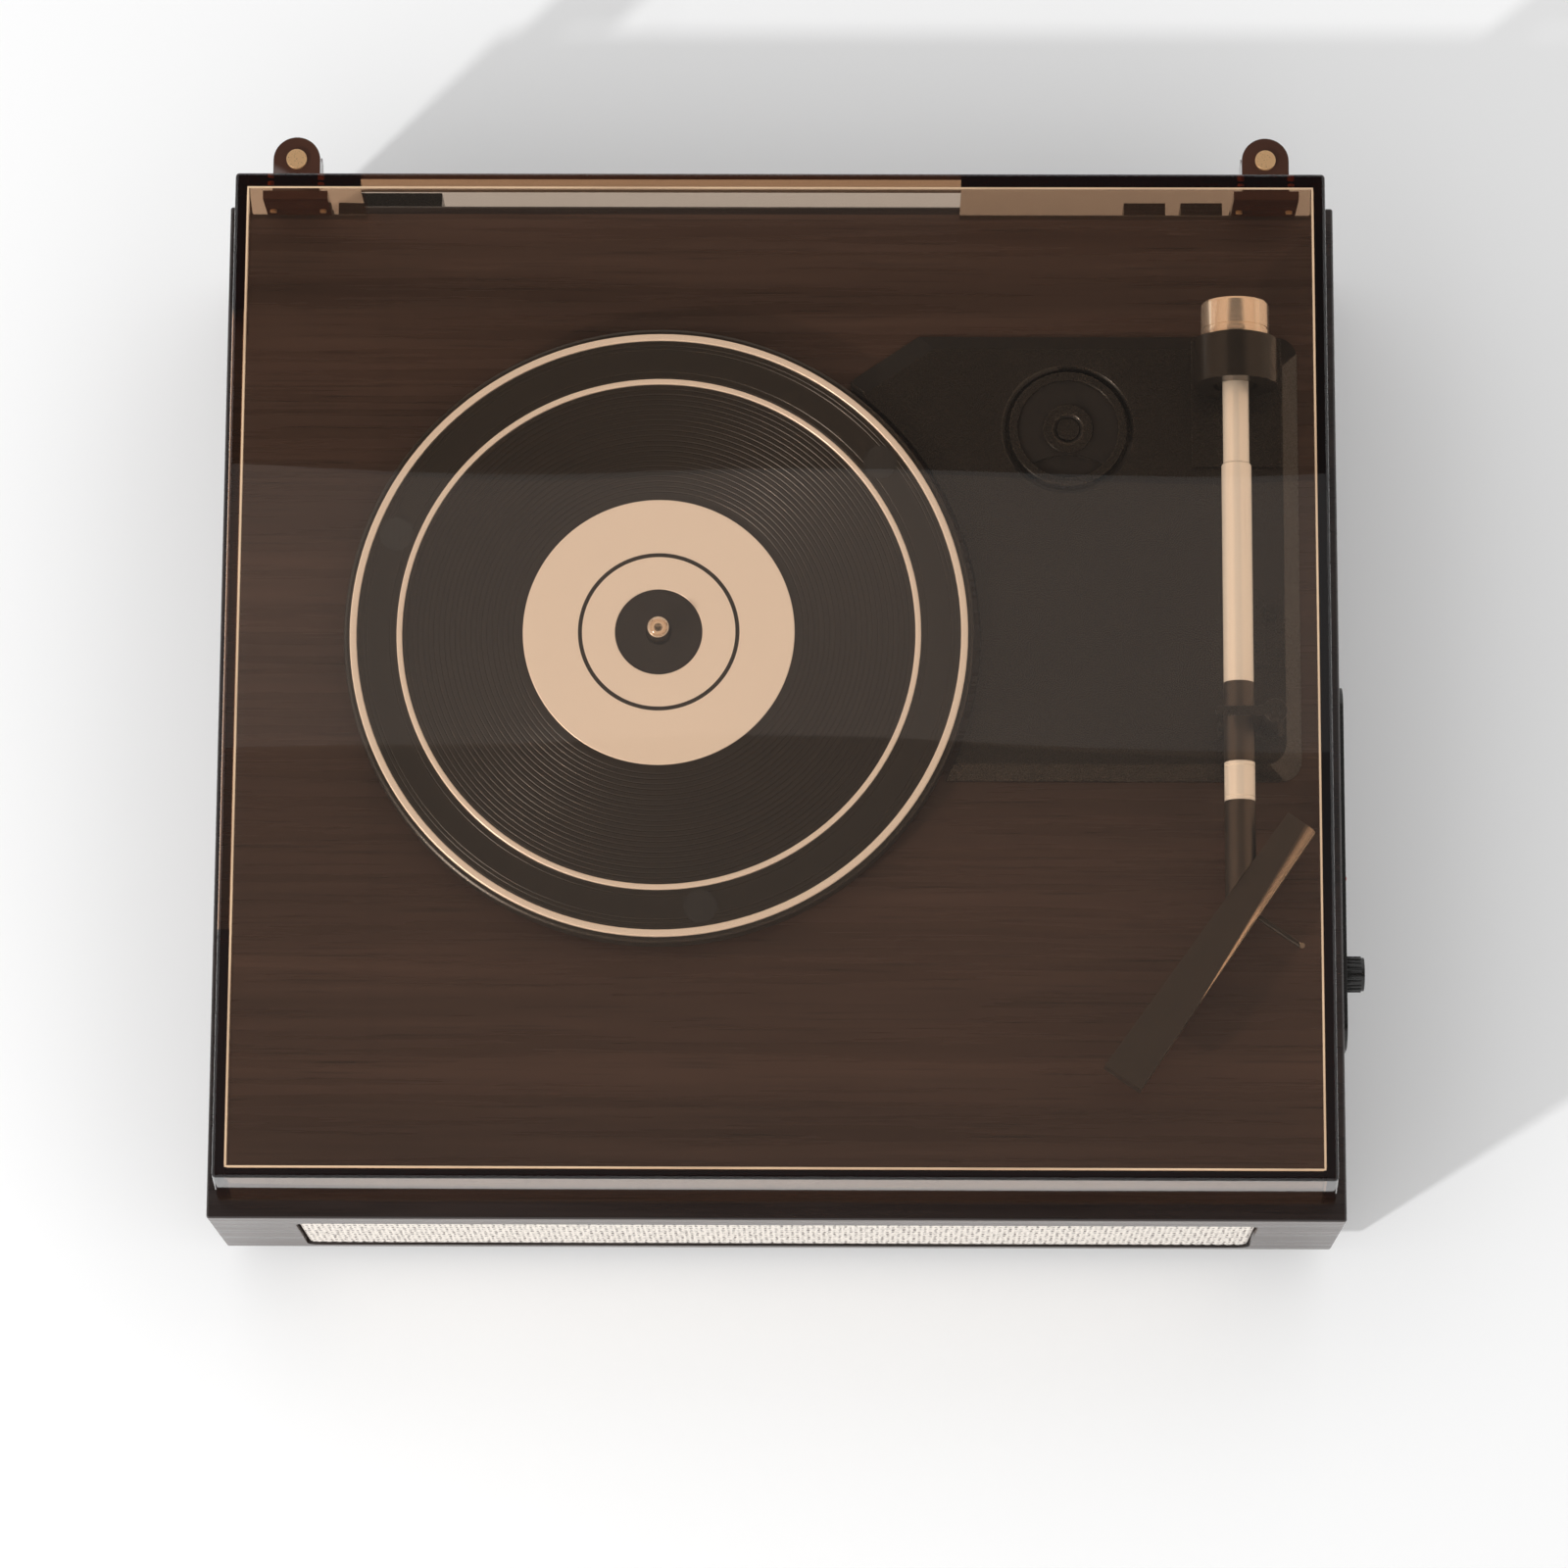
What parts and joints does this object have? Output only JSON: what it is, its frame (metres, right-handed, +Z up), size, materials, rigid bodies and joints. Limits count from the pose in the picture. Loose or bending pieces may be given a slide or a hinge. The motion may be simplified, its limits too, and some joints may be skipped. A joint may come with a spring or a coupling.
{
  "type": "record player",
  "caption": "Record player in a dark wooden box with a woven front grille, gold-trimmed belt-driven platter, straight tonearm and hinged tinted dust cover.",
  "frame": {"origin": "centre of the whole object's footprint, on the surface its feet stand on", "axes": "+Z up, front grille towards -Y, control panel and tonearm towards +X"},
  "size_m": [0.369, 0.351, 0.115],
  "materials": {
    "walnut": "walnut veneer, satin lacquer",
    "board": "raw fibreboard",
    "steel": "plated steel",
    "chrome": "polished",
    "rubber": "matt black rubber",
    "mat_rubber": "grooved black rubber",
    "grille_fabric": "cream woven cloth",
    "cone_paper": "pressed paper",
    "dark_metal": "black paint",
    "circuit_board": "green circuit board",
    "board_components": "electronic components",
    "black_plastic": "fine texture",
    "arm_black": "satin black",
    "platter_black": "black satin coating on cast metal",
    "champagne_gold": "champagne gold anodised",
    "brass": "turned brass",
    "stylus_tip": "red stylus carrier",
    "bright_metal": "dark polished",
    "lamp": "red lamp lens",
    "tinted_acrylic": "clear brown tinted acrylic",
    "brown_acrylic": "dark brown acrylic"
  },
  "bodies": {
    "cabinet": {"front_panel": "walnut", "rear_panel": "walnut", "left_panel": "walnut", "right_panel": "walnut", "deck_panel": "walnut", "base_panel": "board", "corner_blocks": "board", "wood_screws": "steel", "small_screws": "steel", "hinge_pins": "steel", "motor": "steel", "volume_control": "steel", "feet": "rubber", "belt": "rubber", "grille_cloth": "grille_fabric", "speaker_cones": "cone_paper", "left_speaker": "dark_metal", "right_speaker": "dark_metal", "hinge_brackets": "dark_metal", "amplifier_board": "circuit_board", "board_parts": "board_components", "grille_board": "black_plastic", "control_panel": "black_plastic", "phones_socket": "black_plastic", "power_inlet": "black_plastic", "line_sockets": "black_plastic", "arm_plate": "black_plastic", "arm_block": "black_plastic", "arm_rest": "black_plastic", "switch_bezel": "black_plastic", "board_posts": "black_plastic", "bearing_bush": "brass", "power_lamp": "lamp"},
    "platter": {"platter": "platter_black", "outer_ring": "champagne_gold", "inner_ring": "champagne_gold", "platter_mat": "mat_rubber", "record_pads": "mat_rubber", "label_disc": "champagne_gold", "spindle": "chrome"},
    "motor_rotor": {"motor_pulley": "brass"},
    "adapter": {"single_adapter": "black_plastic"},
    "arm_yoke": {"pivot_housing": "arm_black", "yaw_shaft": "steel", "pivot_pin": "steel"},
    "tonearm": {"arm_tube": "champagne_gold", "arm_sleeves": "arm_black", "arm_collar": "champagne_gold", "headshell": "arm_black", "cartridge": "black_plastic", "stylus": "stylus_tip", "finger_lift": "bright_metal"},
    "counterweight": {"counterweight": "champagne_gold"},
    "volume_knob": {"volume_knob": "black_plastic"},
    "speed_switch": {"speed_switch": "black_plastic"},
    "rest_latch": {"rest_latch": "black_plastic"},
    "dust_cover": {"dust_cover": "tinted_acrylic", "hinge_arms": "brown_acrylic", "hinge_screws": "brass"}
  },
  "joints": [
    {"name": "cover_hinge", "type": "hinge", "parent": "cabinet", "child": "dust_cover", "pos_m": [-0.00445, 0.16795, 0.0827], "axis": [-1, 0, 0], "range_deg": [0, 75]},
    {"name": "platter_spin", "type": "hinge", "parent": "cabinet", "child": "platter", "pos_m": [-0.04275, 0.01205, 0.0747], "axis": [0, 0, -1], "continuous": true},
    {"name": "motor_spin", "type": "hinge", "parent": "cabinet", "child": "motor_rotor", "pos_m": [-0.10391, -0.04911, 0.0747], "axis": [0, 0, -1], "continuous": true},
    {"name": "arm_swing", "type": "hinge", "parent": "cabinet", "child": "arm_yoke", "pos_m": [0.14185, 0.09855, 0.0952], "axis": [0, 0, -1], "range_deg": [0, 44]},
    {"name": "arm_lift", "type": "hinge", "parent": "arm_yoke", "child": "tonearm", "pos_m": [0.14185, 0.09855, 0.0952], "axis": [-1, 0, 0], "range_deg": [0, 2.5]},
    {"name": "counterweight_turn", "type": "hinge", "parent": "tonearm", "child": "counterweight", "pos_m": [0.14185, 0.11355, 0.0952], "axis": [0, 1, 0], "continuous": true},
    {"name": "latch_swing", "type": "hinge", "parent": "cabinet", "child": "rest_latch", "pos_m": [0.15255, -0.01805, 0.1057], "axis": [0, 0, -1], "range_deg": [0, 90]},
    {"name": "speed_slide", "type": "slide", "parent": "cabinet", "child": "speed_switch", "axis": [0, -1, 0], "range_m": [0, 0.012]},
    {"name": "adapter_lift", "type": "slide", "parent": "cabinet", "child": "adapter", "axis": [0, 0, 1], "range_m": [0, 0.025]},
    {"name": "volume_turn", "type": "hinge", "parent": "cabinet", "child": "volume_knob", "pos_m": [0.17855, -0.09105, 0.0447], "axis": [1, 0, 0], "range_deg": [0, 300]}
  ],
  "couplings": [
    {"joint": "motor_spin", "follows": "platter_spin", "ratio": 15}
  ]
}
